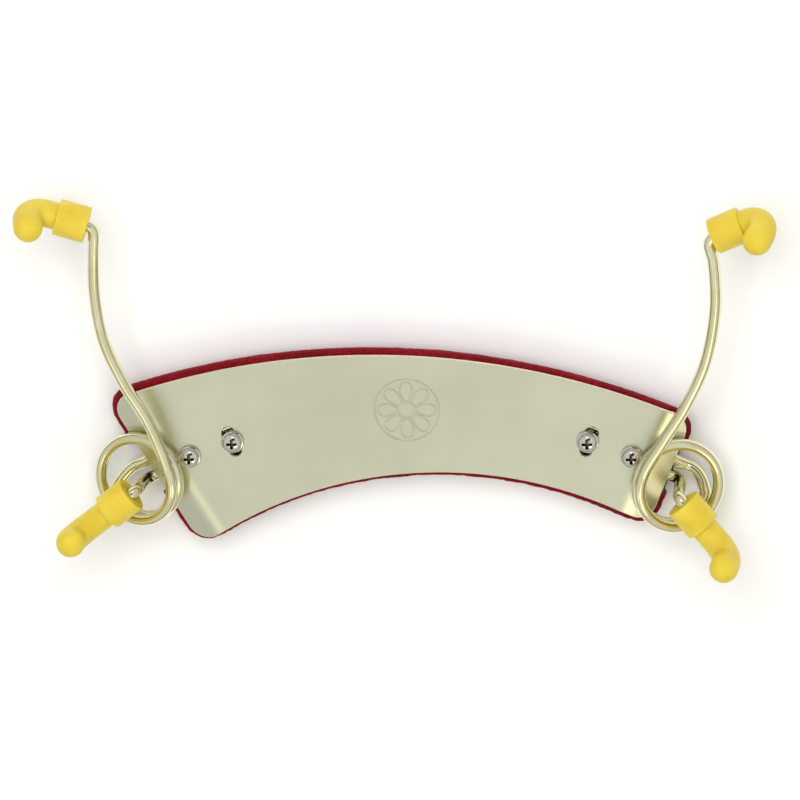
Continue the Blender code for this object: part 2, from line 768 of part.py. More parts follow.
def make_foot(name, frame, leg, parent):
    corner, out, elbow, tip = frame
    mouth = corner + out * MOUTH_OFFSET
    points, radii = foot_path(mouth, elbow, tip)
    world = [leg.world(p) for p in points]
    foot = mesh_of(tube(name, world, radii, world[0], "amber_rubber", parent, 3))
    narrow = WIRE_RADIUS + CLEARANCE
    stations = ((-2.0, narrow + 1.0), (0.8, narrow + 1.0), (2.0, narrow), (BORE_DEPTH, narrow))
    line = [leg.world(mouth + out * along) for along, _ in stations]
    bore = mesh_of(tube(name + "_bore", line, [radius for _, radius in stations], line[0], None, None))
    cut(foot, hide_cutter(bore))
    smooth(foot, 50)


def make_leg(side):
    leg = Leg(side)
    pivot = add_empty(side + "_leg_pivot", leg.world((0, 0, 0)))
    spring = add_empty(side + "_arm_pivot", leg.world(leg.coil_centre), pivot)
    make_fasteners(side, leg.sign, pivot)
    make_bracket(side, leg.sign, pivot)
    paths = (
        ("_long_arm", trimmed(leg.long_arm(), WIRE_CUT), spring),
        ("_coil_spring", leg.coil(), pivot),
        ("_short_arm", trimmed(leg.short_arm(), WIRE_CUT), pivot),
    )
    for name, path, parent in paths:
        wire(side + name, [leg.world(p) for p in path], parent.matrix_world.translation / MM, parent)
    make_foot(side + "_upper_foot", leg.foot_frame("upper"), leg, spring)
    make_foot(side + "_lower_foot", leg.foot_frame("lower"), leg, pivot)


clear_scene()
PARTS = new_collection("violin_shoulder_rest")
CUTTERS = new_collection("cutters")
STOCK = make_materials()
BENDS = bend_frames()
make_plate()
make_pad()
for side_name in SIDES:
    make_leg(side_name)
bpy.context.view_layer.update()
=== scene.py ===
"""Violin shoulder rest: a bent, champagne-plated steel plate on a velvet-covered foam pad, with a
sprung wire leg clamped under each end and rubber feet that grip the violin's edges.

Lengths are in millimetres unless a line says otherwise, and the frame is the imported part's own:
+X to the right-hand leg, +Y to the long arms, +Z out of the plate's metal face.
"""

import math

import bmesh
import bpy
from mathutils import Matrix, Vector, geometry, noise


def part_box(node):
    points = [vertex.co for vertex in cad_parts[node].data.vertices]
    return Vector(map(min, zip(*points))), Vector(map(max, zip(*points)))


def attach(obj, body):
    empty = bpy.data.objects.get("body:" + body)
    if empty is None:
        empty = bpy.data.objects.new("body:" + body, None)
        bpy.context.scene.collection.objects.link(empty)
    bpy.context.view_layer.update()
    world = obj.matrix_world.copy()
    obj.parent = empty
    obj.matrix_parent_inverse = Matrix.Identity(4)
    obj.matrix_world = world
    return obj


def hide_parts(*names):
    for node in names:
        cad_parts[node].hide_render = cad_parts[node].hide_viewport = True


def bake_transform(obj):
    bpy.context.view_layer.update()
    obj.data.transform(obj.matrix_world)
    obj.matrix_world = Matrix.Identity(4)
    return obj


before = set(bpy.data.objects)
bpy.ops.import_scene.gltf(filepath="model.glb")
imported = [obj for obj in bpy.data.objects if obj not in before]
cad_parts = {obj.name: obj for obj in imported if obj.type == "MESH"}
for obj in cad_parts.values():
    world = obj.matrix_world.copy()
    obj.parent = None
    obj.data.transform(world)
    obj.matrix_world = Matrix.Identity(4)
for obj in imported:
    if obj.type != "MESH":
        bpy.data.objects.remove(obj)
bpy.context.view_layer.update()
MM = 0.001
plate_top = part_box("base_plate")[1].z / MM

# Camera ---------------------------------------------------------------------------------------------
# A long lens from well back, so that lines stay nearly parallel. It looks down on the plate's face,
# leaning a little to the long arms' side and to the right.

toward_camera = Vector((0.1103, 0.3256, 0.939)).normalized()
camera_up = Vector((0, 0.9448, -0.3276)).normalized()
camera_right = camera_up.cross(toward_camera)
camera_up = toward_camera.cross(camera_right)
distance, frame_width = 4000, 219.2
aim_left, aim_up = 2.46, 4.52
aim = Vector((0, 0, plate_top)) - camera_right * aim_left + camera_up * aim_up
camera = bpy.data.objects.new("camera", bpy.data.cameras.new("camera"))
bpy.context.scene.collection.objects.link(camera)
camera.data.lens = camera.data.sensor_width * distance / frame_width
camera.matrix_world = (
    Matrix.Translation((aim + toward_camera * distance) * MM)
    @ Matrix((camera_right, camera_up, toward_camera)).transposed().to_4x4()
)
bpy.context.scene.camera = camera

# Floor and lights -----------------------------------------------------------------------------------
# A seamless white sheet under the pad. A wide ceiling lamp lights it and stays out of the metal's
# reflections, and three small softboxes shine in the metal. A dim band low on the walls gives the
# bright metal its dark edges.


def linear(code):
    """An sRGB hex colour, such as "d8d4b8", as linear red, green, blue and alpha."""
    parts = [int(code[i : i + 2], 16) / 255 for i in (0, 2, 4)]
    return (*(c / 12.92 if c <= 0.04045 else ((c + 0.055) / 1.055) ** 2.4 for c in parts), 1.0)


def add(tree, kind, inputs=(), **settings):
    """Adds a node, sets its properties and sets or links its inputs; an input may be a socket."""
    made = tree.nodes.new(kind)
    for name, value in settings.items():
        setattr(made, name, value)
    for name, value in dict(inputs).items():
        if isinstance(value, bpy.types.NodeSocket):
            tree.links.new(value, made.inputs[name])
        else:
            made.inputs[name].default_value = value
    return made


def ramp(made, *stops):
    """Sets a colour ramp's stops, each a place from 0 to 1 and a linear colour."""
    elements = made.color_ramp.elements
    while len(elements) < len(stops):
        elements.new(1.0)
    for element, (place, colour) in zip(elements, stops):
        element.position, element.color = place, colour
    return made


def new_material(name):
    material = bpy.data.materials.new(name)
    material.use_nodes = True
    material.node_tree.nodes.clear()
    return material, material.node_tree


def mesh_object(name, shape, material):
    """Turns a bmesh, in metres, into a smooth-shaded object."""
    bmesh.ops.recalc_face_normals(shape, faces=shape.faces)
    mesh = bpy.data.meshes.new(name)
    shape.to_mesh(mesh)
    shape.free()
    mesh.shade_smooth()
    mesh.materials.append(material)
    obj = bpy.data.objects.new(name, mesh)
    bpy.context.scene.collection.objects.link(obj)
    return obj


white_paper, paper = new_material("matt_white_paper")
fibre = add(paper, "ShaderNodeTexNoise", {"Scale": 400.0, "Detail": 3.0})
paper_tone = ramp(add(paper, "ShaderNodeValToRGB", {"Fac": fibre.outputs["Fac"]}),
                  (0.3, linear("f8f8f7")), (0.7, linear("fbfbfa")))
paper_skin = add(paper, "ShaderNodeBsdfPrincipled",
                 {"Base Color": paper_tone.outputs["Color"], "Roughness": 0.9, "Specular IOR Level": 0.2})
add(paper, "ShaderNodeOutputMaterial", {"Surface": paper_skin.outputs["BSDF"]})
sheet = bmesh.new()
bmesh.ops.create_grid(sheet, x_segments=8, y_segments=8, size=4.0)
floor = mesh_object("studio_floor", sheet, white_paper)
floor.location.z = -0.0004

world = bpy.data.worlds.new("studio")
bpy.context.scene.world = world
world.use_nodes = True
studio = world.node_tree
studio.nodes.clear()
direction = add(studio, "ShaderNodeTexCoord")
height = add(studio, "ShaderNodeSeparateXYZ", {"Vector": direction.outputs["Generated"]})
walls = ramp(add(studio, "ShaderNodeValToRGB", {"Fac": height.outputs["Z"]}),
             *((place, (grey, grey, grey, 1)) for place, grey in
               ((0.0, 0.75), (0.05, 0.16), (0.18, 0.16), (0.30, 0.66),
                (0.60, 0.62), (0.80, 0.75), (0.90, 0.77), (1.0, 0.77))))
# The unlit corner of the room that the camera stands in: polished heads and wires show it as a dark line.
toward_corner = add(studio, "ShaderNodeVectorMath", {0: direction.outputs["Generated"], 1: toward_camera},
                    operation="DOT_PRODUCT")
corner = ramp(add(studio, "ShaderNodeValToRGB", {"Fac": toward_corner.outputs["Value"]}),
              (0.970, (1, 1, 1, 1)), (0.982, (0.03, 0.03, 0.03, 1)))
room = add(studio, "ShaderNodeMix", {"Factor": 1.0, 6: walls.outputs["Color"], 7: corner.outputs["Color"]},
           data_type="RGBA", blend_type="MULTIPLY")
sky = add(studio, "ShaderNodeBackground", {"Color": room.outputs[2], "Strength": 1.0})
add(studio, "ShaderNodeOutputWorld", {"Surface": sky.outputs["Background"]})

# Lamp places and sizes are in metres.
for name, place, size, watts, tint in (
    ("softbox_left", (-0.42, -0.56, 0.98), 0.22, 0.16, "fff3b4"),
    ("softbox_right", (0.33, -0.60, 1.00), 0.34, 1.0, "fff0a8"),
    ("softbox_back", (0.0, 0.85, 1.17), 0.30, 0.9, "ffffff"),
    ("ceiling_fill", (0.0, 0.70, 1.50), 1.2, 15.0, "ffffff"),
):
    lamp = bpy.data.objects.new(name, bpy.data.lights.new(name, "AREA"))
    bpy.context.scene.collection.objects.link(lamp)
    lamp.data.shape, lamp.data.size, lamp.data.energy = "SQUARE", size, watts
    lamp.data.color = linear(tint)[:3]
    lamp.location = place
    lamp.rotation_euler = (-Vector(place)).to_track_quat("-Z", "Y").to_euler()
    lamp.visible_camera = False
    lamp.visible_glossy = name != "ceiling_fill"
bpy.context.scene.view_settings.view_transform = "Standard"

# Base plate -----------------------------------------------------------------------------------------
# 1.2 mm sheet steel, blanked to a curved bar, its two ends folded down along a soft crease beside the
# outer screws. It is satin-finished, then plated to a pale champagne; the edges are tumbled round.

PLATE_THICKNESS = 1.2
PLATE_EDGE = 0.3
TOP_ARC = ((-9.5, -191.7), 209.3)
BOTTOM_ARC = ((7.8, -129.8), 113.5)
ENDS = {
    -1: {"point": (-76.1, -9.3), "along": (0.4963, -0.8682), "top": 5.6, "bottom": 5.8},
    1: {"point": (75.6, -7.2), "along": (-0.3876, -0.9218), "top": 5.6, "bottom": 4.7},
}
BEND_ANGLE, BEND_START, BEND_LENGTH, BEND_CUTS = math.radians(18), 2.0, 5.0, 10
PIVOT = Vector((61.0, -11.6))
LOCK_OFFSET = Vector((-12.0, 4.35))  # of the lock screw, from the pivot screw towards the middle
HOLE_RADIUS = 1.75
SWIVEL = math.radians(12)  # the slot's reach each way; the joint may stop short of it


def arc_points(centre, radius, start, end, count):
    angles = [start + (end - start) * i / count for i in range(count + 1)]
    return [(centre[0] + radius * math.cos(a), centre[1] + radius * math.sin(a)) for a in angles]


def outward_of(side):
    """The direction out of a plate end, square to its edge."""
    x, y = ENDS[side]["along"]
    return Vector((y, -x)) * -side


def corner_arc(centre, reach, side, depth, above):
    """A rounded corner between a long edge's circle and a plate end: its centre and two angles."""
    along, middle, out = Vector(ENDS[side]["along"]), Vector(centre), outward_of(side)
    start = Vector(ENDS[side]["point"]) - out * depth - middle
    shift = start.dot(along)
    half = math.sqrt(shift * shift - start.length_squared + reach * reach)
    centre = middle + start + along * min((-shift + half, -shift - half), key=abs)
    to_edge = centre - middle if above else middle - centre
    return centre, math.atan2(to_edge.y, to_edge.x), math.atan2(out.y, out.x)


def bar_outline(top_arc, bottom_arc, longer, inset, edge_steps=90, corner_steps=12):
    """The bar between two arcs, moved inwards by inset, anticlockwise from the top left."""

    def corner(side, level):
        radius = max(ENDS[side][level] - inset, 1.0)
        (centre, arc), sense = (top_arc, -1) if level == "top" else (bottom_arc, 1)
        reach = arc + sense * (inset + radius)
        middle, at_edge, at_end = corner_arc(centre, reach, side, inset + radius - longer[side], sense < 0)
        first, last = (at_edge, at_end) if (side < 0) == (level == "top") else (at_end, at_edge)
        last += 2 * math.pi * round((first - last) / (2 * math.pi))
        return arc_points(middle, radius, first, last, corner_steps)

    def long_edge(centre, radius, start, end):
        first, last = (Vector(p) - Vector(centre) for p in (start, end))
        angles = math.atan2(first.y, first.x), math.atan2(last.y, last.x)
        return arc_points(centre, radius, *angles, edge_steps)[1:-1]

    left_top, left_bottom = corner(-1, "top"), corner(-1, "bottom")
    right_bottom, right_top = corner(1, "bottom"), corner(1, "top")
    low = long_edge(bottom_arc[0], bottom_arc[1] + inset, left_bottom[-1], right_bottom[0])
    high = long_edge(top_arc[0], top_arc[1] - inset, right_top[-1], left_top[0])
    return left_top + left_bottom + low + right_bottom + right_top + high


def creases():
    """Where each end's bend starts, and its outward direction."""
    return [(Vector((side * PIVOT.x, PIVOT.y)) + outward_of(side) * BEND_START, outward_of(side))
            for side in ENDS]


def bent(x, y, z, share=1.0):
    """Where a flat sheet's point goes once the ends are folded, and how it has turned there.

    share fades the fold out, from 1 at the plate to 0 at the pad's flat underside.
    """
    spot, radius = Vector((x, y)), BEND_LENGTH / BEND_ANGLE
    for start, outward in creases():
        far = (spot - start).dot(outward)
        if far > 0:
            turned = min(far / BEND_LENGTH, 1.0) * BEND_ANGLE
            past = max(far - BEND_LENGTH, 0.0)
            along = radius * math.sin(turned) + past * math.cos(turned)
            down = radius * (1 - math.cos(turned)) + past * math.sin(turned)
            spot += outward * (along - far + z * math.sin(turned)) * share
            place = Vector((spot.x, spot.y, z + (z * (math.cos(turned) - 1) - down) * share))
            return place, Matrix.Rotation(turned, 3, Vector((-outward.y, outward.x, 0)))
    return Vector((x, y, z)), Matrix.Identity(3)


def hole(centre, radius=HOLE_RADIUS, count=32):
    """A round hole's outline for any inset of the sheet's edge."""
    return lambda inset: arc_points(centre, radius + inset, 0, 2 * math.pi, count)[:-1]


def lock_slot(sign):
    """The curved slot that lets the lock screw swing about the pivot screw."""
    pivot = Vector((sign * PIVOT.x, PIVOT.y))
    lock = Vector((sign * LOCK_OFFSET.x, LOCK_OFFSET.y))
    middle = math.atan2(lock.y, lock.x)

    def outline(inset):
        half = HOLE_RADIUS + inset
        points = arc_points(pivot, lock.length + half, middle - SWIVEL, middle + SWIVEL, 10)
        for angle, turn in ((middle + SWIVEL, 0), (middle - SWIVEL, math.pi)):
            end = pivot + Vector((math.cos(angle), math.sin(angle))) * lock.length
            points += arc_points(end, half, angle + turn, angle + turn + math.pi, 12)[1:-1]
            if not turn:
                points += arc_points(pivot, lock.length - half, middle + SWIVEL, middle - SWIVEL, 10)
        return points

    return outline


def blanked_sheet(outlines, thickness, edge, top):
    """A flat sheet with rounded edges; each outline gives its points for an inset of the edge."""
    rounding = [(edge * (1 - math.sin(a)), thickness / 2 - edge * (1 - math.cos(a)))
                for a in (math.radians(30 * i) for i in range(4))]
    profile = rounding + [(inset, -z) for inset, z in reversed(rounding)]
    shape, caps = bmesh.new(), ([], [])
    for outline in outlines:
        rings = [
            [shape.verts.new((x * MM, y * MM, (top - thickness / 2 + z) * MM)) for x, y in outline(inset)]
            for inset, z in profile
        ]
        for upper, lower in zip(rings, rings[1:]):
            for i in range(len(upper)):
                shape.faces.new((upper[i - 1], lower[i - 1], lower[i], upper[i]))
        caps[0].append(rings[0])
        caps[1].append(rings[-1])
    for cap in caps:
        verts = [vert for ring in cap for vert in ring]
        for a, b, c in geometry.tessellate_polygon([[vert.co for vert in ring] for ring in cap]):
            shape.faces.new((verts[a], verts[b], verts[c]))
    return shape


def weigh_normals(obj):
    """Keeps flat faces flat right up to their rounded edges."""
    obj.modifiers.new("flat_faces", "WEIGHTED_NORMAL").keep_sharp = True


# Satin champagne plating on brushed steel: a pale, greenish gold with a soft, cloudy reflection,
# a grain of fine strokes along the bar and a few hairline scratches. The rounded edges are coloured
# brighter: partly rubbed plating, partly a painted highlight along the rim.
champagne_plate, tree = new_material("satin_champagne_plated_steel")
place = add(tree, "ShaderNodeTexCoord")
strokes = add(tree, "ShaderNodeMapping", {"Vector": place.outputs["Object"], "Scale": (0.04, 1.0, 1.0)})
grain = add(tree, "ShaderNodeTexNoise",
            {"Vector": strokes.outputs["Vector"], "Scale": 1 / (0.12 * MM), "Detail": 2.0})
clouds = add(tree, "ShaderNodeTexNoise",
             {"Vector": place.outputs["Object"], "Scale": 1 / (22 * MM), "Detail": 3.0})
across = add(tree, "ShaderNodeMapping", {"Vector": place.outputs["Object"], "Rotation": (0, 0, 0.9)})
drawn_out = add(tree, "ShaderNodeMapping", {"Vector": across.outputs["Vector"], "Scale": (0.05, 1, 1)})
hairlines = add(tree, "ShaderNodeTexNoise",
                {"Vector": drawn_out.outputs["Vector"], "Scale": 1 / (0.3 * MM), "Detail": 1.0})
scratch = ramp(add(tree, "ShaderNodeValToRGB", {"Fac": hairlines.outputs["Fac"]}),
               (0.72, (0, 0, 0, 1)), (0.76, (1, 1, 1, 1)))
tone = ramp(add(tree, "ShaderNodeValToRGB", {"Fac": clouds.outputs["Fac"]}),
            (0.35, linear("d5d7be")), (0.65, linear("dbddc6")))
# The rounded edges' brighter colour is partly wear and partly a painted rim highlight.
edge_wear_and_highlight_mask = add(tree, "ShaderNodeAttribute", attribute_name="edge_wear_and_highlight")
tone_with_worn_highlit_edges = add(tree, "ShaderNodeMix",
            {"Factor": edge_wear_and_highlight_mask.outputs["Fac"], 6: tone.outputs["Color"], 7: linear("f1ecd2")},
            data_type="RGBA")
gloss = add(tree, "ShaderNodeMapRange",
            {"Value": clouds.outputs["Fac"], "From Min": 0.3, "From Max": 0.7, "To Min": 0.27, "To Max": 0.33})
scuffed = add(tree, "ShaderNodeMath", {0: scratch.outputs["Color"], 1: 0.06, 2: gloss.outputs["Result"]},
              operation="MULTIPLY_ADD")
relief = add(tree, "ShaderNodeBump",
             {"Height": grain.outputs["Fac"], "Strength": 0.25, "Distance": 0.004 * MM})
skin = add(tree, "ShaderNodeBsdfPrincipled",
           {"Base Color": tone_with_worn_highlit_edges.outputs[2], "Metallic": 1.0, "Roughness": scuffed.outputs["Value"],
            "Normal": relief.outputs["Normal"]})
add(tree, "ShaderNodeOutputMaterial", {"Surface": skin.outputs["BSDF"]})

outlines = [lambda inset: bar_outline(TOP_ARC, BOTTOM_ARC, {-1: 0.0, 1: 0.0}, inset)]
for sign in (-1, 1):
    outlines += [hole((sign * PIVOT.x, PIVOT.y)), lock_slot(sign)]
blank = blanked_sheet(outlines, PLATE_THICKNESS, PLATE_EDGE, 0)
for start, outward in creases():
    for i in range(BEND_CUTS + 1):
        cut = start + outward * (BEND_LENGTH * i / BEND_CUTS)
        bmesh.ops.bisect_plane(blank, geom=blank.verts[:] + blank.edges[:] + blank.faces[:], dist=1e-7,
                               plane_co=(cut.x * MM, cut.y * MM, 0), plane_no=(*outward, 0))
bmesh.ops.recalc_face_normals(blank, faces=blank.faces)
blank.normal_update()
normals, edge_wear_and_highlight_flags = [], []
for vert in blank.verts:
    x, y, z = vert.co / MM
    face = min(z, -PLATE_THICKNESS - z, key=abs)  # how far from the nearer flat face
    flat = Vector((0, 0, 1 if z > -PLATE_THICKNESS / 2 else -1))
    place, turned = bent(x, y, z)
    # Points on the rounded edge get the brighter edge colour: wear with a painted rim highlight.
    edge_wear_and_highlight_flags.append(float(abs(face) > 1e-3))
    normals.append(turned @ (vert.normal if edge_wear_and_highlight_flags[-1] else flat))
    vert.co = (place + Vector((0, 0, plate_top))) * MM
plate = mesh_object("plate", blank, champagne_plate)
plate.data.normals_split_custom_set_from_vertices(normals)
plate.data.attributes.new("edge_wear_and_highlight", "FLOAT", "POINT").data.foreach_set("value", edge_wear_and_highlight_flags)
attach(plate, "base")
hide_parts("base_plate")

# Pressed ornament -----------------------------------------------------------------------------------
# A plain eight-petalled rosette struck into the middle of the plate. Its lines are rounded ridges
# that stand a little over a tenth of a millimetre proud, and they carry the plate's own plating.

ROSETTE_CENTRE, ROSETTE_RADIUS, PETALS = Vector((-0.5, 1.9)), 8.0, 8
RIDGE_RADIUS, RIDGE_PROUD = 0.25, 0.13
HUB_RADIUS, RIM_RADIUS = 0.28 * ROSETTE_RADIUS, ROSETTE_RADIUS + 0.9
CIRCLE_STEPS, PETAL_STEPS = 72, 40
# As shares of the rosette's radius; the flare is how much wider a petal grows towards its outer end.
PETAL_MIDDLE, PETAL_REACH, PETAL_WIDTH, PETAL_FLARE = 0.65, 0.35, 0.21, 0.25


def directions(points, closed=False):
    """The direction of travel at each point of a path."""
    count = len(points)
    if closed:
        pairs = [((i - 1) % count, (i + 1) % count) for i in range(count)]
    else:
        pairs = [(max(i - 1, 0), min(i + 1, count - 1)) for i in range(count)]
    return [(points[b] - points[a]).normalized() for a, b in pairs]


def lofted(name, stations, material, sides=24, closed=False):
    """Rings of a point, a direction and a radius, joined into one round body with capped ends."""
    shape, rings = bmesh.new(), []
    aside = stations[0][1].orthogonal().normalized()
    for point, way, radius in stations:
        aside = (aside - way * aside.dot(way)).normalized()
        across = way.cross(aside)
        turns = [2 * math.pi * i / sides for i in range(sides)]
        rings.append([shape.verts.new((point + (aside * math.cos(a) + across * math.sin(a)) * radius) * MM)
                      for a in turns])
    for near, far in zip(rings, rings[1:] + rings[:1] if closed else rings[1:]):
        for i in range(sides):
            shape.faces.new((near[i - 1], near[i], far[i], far[i - 1]))
    if not closed:
        shape.faces.new(rings[0])
        shape.faces.new(rings[-1])
    return mesh_object(name, shape, material)


ridges = [(HUB_RADIUS, None), (RIM_RADIUS, None)]
ridges += [(ROSETTE_RADIUS, 2 * math.pi * i / PETALS) for i in range(PETALS)]
for number, (radius, bearing) in enumerate(ridges):
    points = []
    steps = CIRCLE_STEPS if bearing is None else PETAL_STEPS
    for i in range(steps):
        a = 2 * math.pi * i / steps
        if bearing is None:
            spot = Vector((radius * math.cos(a), radius * math.sin(a)))
        else:
            along = radius * (PETAL_MIDDLE - PETAL_REACH * math.cos(a))
            wide = radius * PETAL_WIDTH * math.sin(a) * (1 - PETAL_FLARE * math.cos(a))
            spot = Matrix.Rotation(bearing, 2) @ Vector((along, wide))
        points.append(Vector((*(ROSETTE_CENTRE + spot), plate_top + RIDGE_PROUD - RIDGE_RADIUS)))
    stations = [(p, d, RIDGE_RADIUS) for p, d in zip(points, directions(points, True))]
    ridge = lofted(f"rosette_ridge_{number}", stations, champagne_plate, 12, True)
    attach(ridge, "base")

# Velvet-covered pad ---------------------------------------------------------------------------------
# A 10 mm slab of foam with rounded sides, wrapped in crimson velvet and glued under the plate. The
# velvet rolls over the plate's edge line and bellies out below, where it rests on the shoulder.

PAD_THICKNESS = 10.0
PAD_TOP_ARC = ((-10.9, -192.2), 209.3)
PAD_BOTTOM_ARC = ((6.9, -130.25), 113.5)
PAD_OVERHANG, PAD_LONGER = 1.2, {-1: 0.6, 1: 0.2}
PAD_CROWN = (7.5, 8.3)
PAD_ROUND = 1.5
POCKET_FLOOR = plate_top - 8.2
# The velvet's dips, by depth and spacing, which fade out at DIP_TOP, and then its pile.
BROAD_DIP, BROAD_SPACING, SMALL_DIP, SMALL_SPACING, DIP_TOP = 0.35, 17.0, 0.16, 5.0, 7.0
PILE_HEIGHT, PILE_ROUGHNESS, TUFT_SPACING = 0.35, 0.12, 0.9
PILE_PRESSED = 0.45  # how far the pile is pressed in at the bottom
LOWEST_PILE = 0.02

# Cut-pile cotton velvet: deep crimson with a soft, pinkish sheen where the pile stands. Broad patches
# where the pile lies away are darkened as painted shade, and each tuft is painted lighter on its raised
# tip and darker in its hollow; tufts about half a millimetre across, drawn coarser than real pile.
crimson_velvet, tree = new_material("crimson_cut_pile_velvet")
place = add(tree, "ShaderNodeTexCoord")
pile = add(tree, "ShaderNodeTexNoise",
           {"Vector": place.outputs["Object"], "Scale": 1 / (0.45 * MM), "Detail": 3.0, "Roughness": 0.7})
brushed = add(tree, "ShaderNodeTexNoise",
              {"Vector": place.outputs["Object"], "Scale": 1 / (14 * MM), "Detail": 3.0, "Distortion": 0.6})
# Each tuft's colour follows its bump height: painted light on the tips, painted shade between them.
tuft_painted_light_and_shade = ramp(add(tree, "ShaderNodeValToRGB", {"Fac": pile.outputs["Fac"]}),
             (0.32, linear("4d060d")), (0.50, linear("7c0c18")), (0.70, linear("a81f2c")))
# Broad patches darkened as painted shade where the pile lies away.
pile_lay_painted_shade = ramp(add(tree, "ShaderNodeValToRGB", {"Fac": brushed.outputs["Fac"]}),
           (0.38, (0.72, 0.72, 0.72, 1)), (0.62, (1, 1, 1, 1)))
shaded = add(tree, "ShaderNodeMix", {"Factor": 1.0, 6: tuft_painted_light_and_shade.outputs["Color"], 7: pile_lay_painted_shade.outputs["Color"]},
             data_type="RGBA", blend_type="MULTIPLY")
nap = add(tree, "ShaderNodeBump", {"Height": pile.outputs["Fac"], "Strength": 0.9, "Distance": 0.25 * MM})
skin = add(tree, "ShaderNodeBsdfPrincipled",
           {"Base Color": shaded.outputs[2], "Roughness": 0.92, "Specular IOR Level": 0.15, "Sheen Weight": 0.5,
            "Sheen Roughness": 0.35, "Sheen Tint": linear("e0566a"), "Normal": nap.outputs["Normal"]})
add(tree, "ShaderNodeOutputMaterial", {"Surface": skin.outputs["BSDF"]})

# Open-cell polyurethane foam, cut with a hot blade: dull charcoal grey, pitted with cells, each pit
# darkened as painted shade.
grey_foam, tree = new_material("grey_open_cell_foam")
place = add(tree, "ShaderNodeTexCoord")
cells = add(tree, "ShaderNodeTexVoronoi", {"Vector": place.outputs["Object"], "Scale": 1 / (0.6 * MM)})
# Darker towards each cell's middle, where the bump sinks: painted shade in the pits.
pit_painted_shade = ramp(add(tree, "ShaderNodeValToRGB", {"Fac": cells.outputs["Distance"]}),
             (0.1, linear("2b2b2d")), (0.6, linear("5a5a5c")))
pitted = add(tree, "ShaderNodeBump",
             {"Height": cells.outputs["Distance"], "Strength": 0.8, "Distance": 0.2 * MM})
skin = add(tree, "ShaderNodeBsdfPrincipled",
           {"Base Color": pit_painted_shade.outputs["Color"], "Roughness": 0.95, "Specular IOR Level": 0.1,
            "Normal": pitted.outputs["Normal"]})
add(tree, "ShaderNodeOutputMaterial", {"Surface": skin.outputs["BSDF"]})


def pad_ring(shape, inset, height):
    """One ring of the pad's side, which follows the folded plate at the top and is flat below."""
    ring = []
    for x, y in bar_outline(PAD_TOP_ARC, PAD_BOTTOM_ARC, PAD_LONGER, inset, 70, 8):
        spot = bent(x, y, 0, height / PAD_THICKNESS)[0]
        ring.append(shape.verts.new((spot.x * MM, spot.y * MM, (height + spot.z) * MM)))
    return ring


def pocket_outline(sign):
    """The room left in the pad for the bracket and the wire to swivel."""
    axis = -LOCK_OFFSET.normalized()
    across = Vector((-axis.y, axis.x))
    far = LOCK_OFFSET.length
    # Each row is a place along the hairpin, then the room on either side of it.
    rows = ((-far - 6.3, 6.5, 6.5), (-far - 1.5, 9.2, 9.2), (0.0, 6.6, 6.6), (7.0, 7.4, 7.6), (18.0, 9.0, 10.0))
    near = [PIVOT + axis * along + across * left for along, left, _ in rows]
    back = [PIVOT + axis * along - across * right for along, _, right in reversed(rows)]
    return [(sign * p.x, p.y) for p in near + back]


wrap = bmesh.new()
rings = [pad_ring(wrap, PAD_ROUND * (1 - math.sin(a)) - PAD_OVERHANG,
                  PAD_THICKNESS - PAD_ROUND * (1 - math.cos(a)))
         for a in (math.radians(22.5 * i) for i in range(5))]
rings += [pad_ring(wrap, PAD_CROWN[0] * (1 - math.cos(a)) - PAD_OVERHANG, PAD_CROWN[1] * (1 - math.sin(a)))
          for a in (math.radians(11.25 * i) for i in range(8))]
for upper, lower in zip(rings, rings[1:]):
    for i in range(len(upper)):
        wrap.faces.new((upper[i - 1], lower[i - 1], lower[i], upper[i]))
wrap.faces.new(rings[0])
wrap.faces.new(rings[-1])
pad = mesh_object("velvet_pad", wrap, crimson_velvet)
bpy.context.view_layer.objects.active = pad


def bake_modifiers(obj):
    """Applies every modifier by taking the evaluated mesh."""
    bpy.context.view_layer.update()
    mesh = bpy.data.meshes.new_from_object(obj.evaluated_get(bpy.context.evaluated_depsgraph_get()))
    obj.modifiers.clear()
    obj.data = mesh


cloth_size = pad.modifiers.new("even_faces", "REMESH")
cloth_size.mode, cloth_size.voxel_size, cloth_size.use_smooth_shade = "VOXEL", 1.3 * MM, True
bake_modifiers(pad)
pad.modifiers.new("round", "SMOOTH").iterations = 3
divide = pad.modifiers.new("divide", "SUBSURF")
divide.levels = divide.render_levels = 1
bake_modifiers(pad)
for vert, normal in zip(pad.data.vertices, [vert.normal.copy() for vert in pad.data.vertices]):
    x, y, z = vert.co / MM
    low = max(0.0, 1 - z / DIP_TOP)
    dip = (BROAD_DIP * noise.noise(Vector((x, y, 0)) / BROAD_SPACING)
           + SMALL_DIP * noise.noise(Vector((x, y, z)) / SMALL_SPACING))
    tuft = PILE_HEIGHT + PILE_ROUGHNESS * noise.noise(vert.co / (TUFT_SPACING * MM))
    under_plate = min(1.0, (PAD_THICKNESS + 0.1 - z) / 0.5)  # fades the pile out against the plate
    vert.co += normal * (dip * low + tuft - PILE_PRESSED * low) * MM * under_plate
    vert.co.z = max(vert.co.z, LOWEST_PILE * MM)

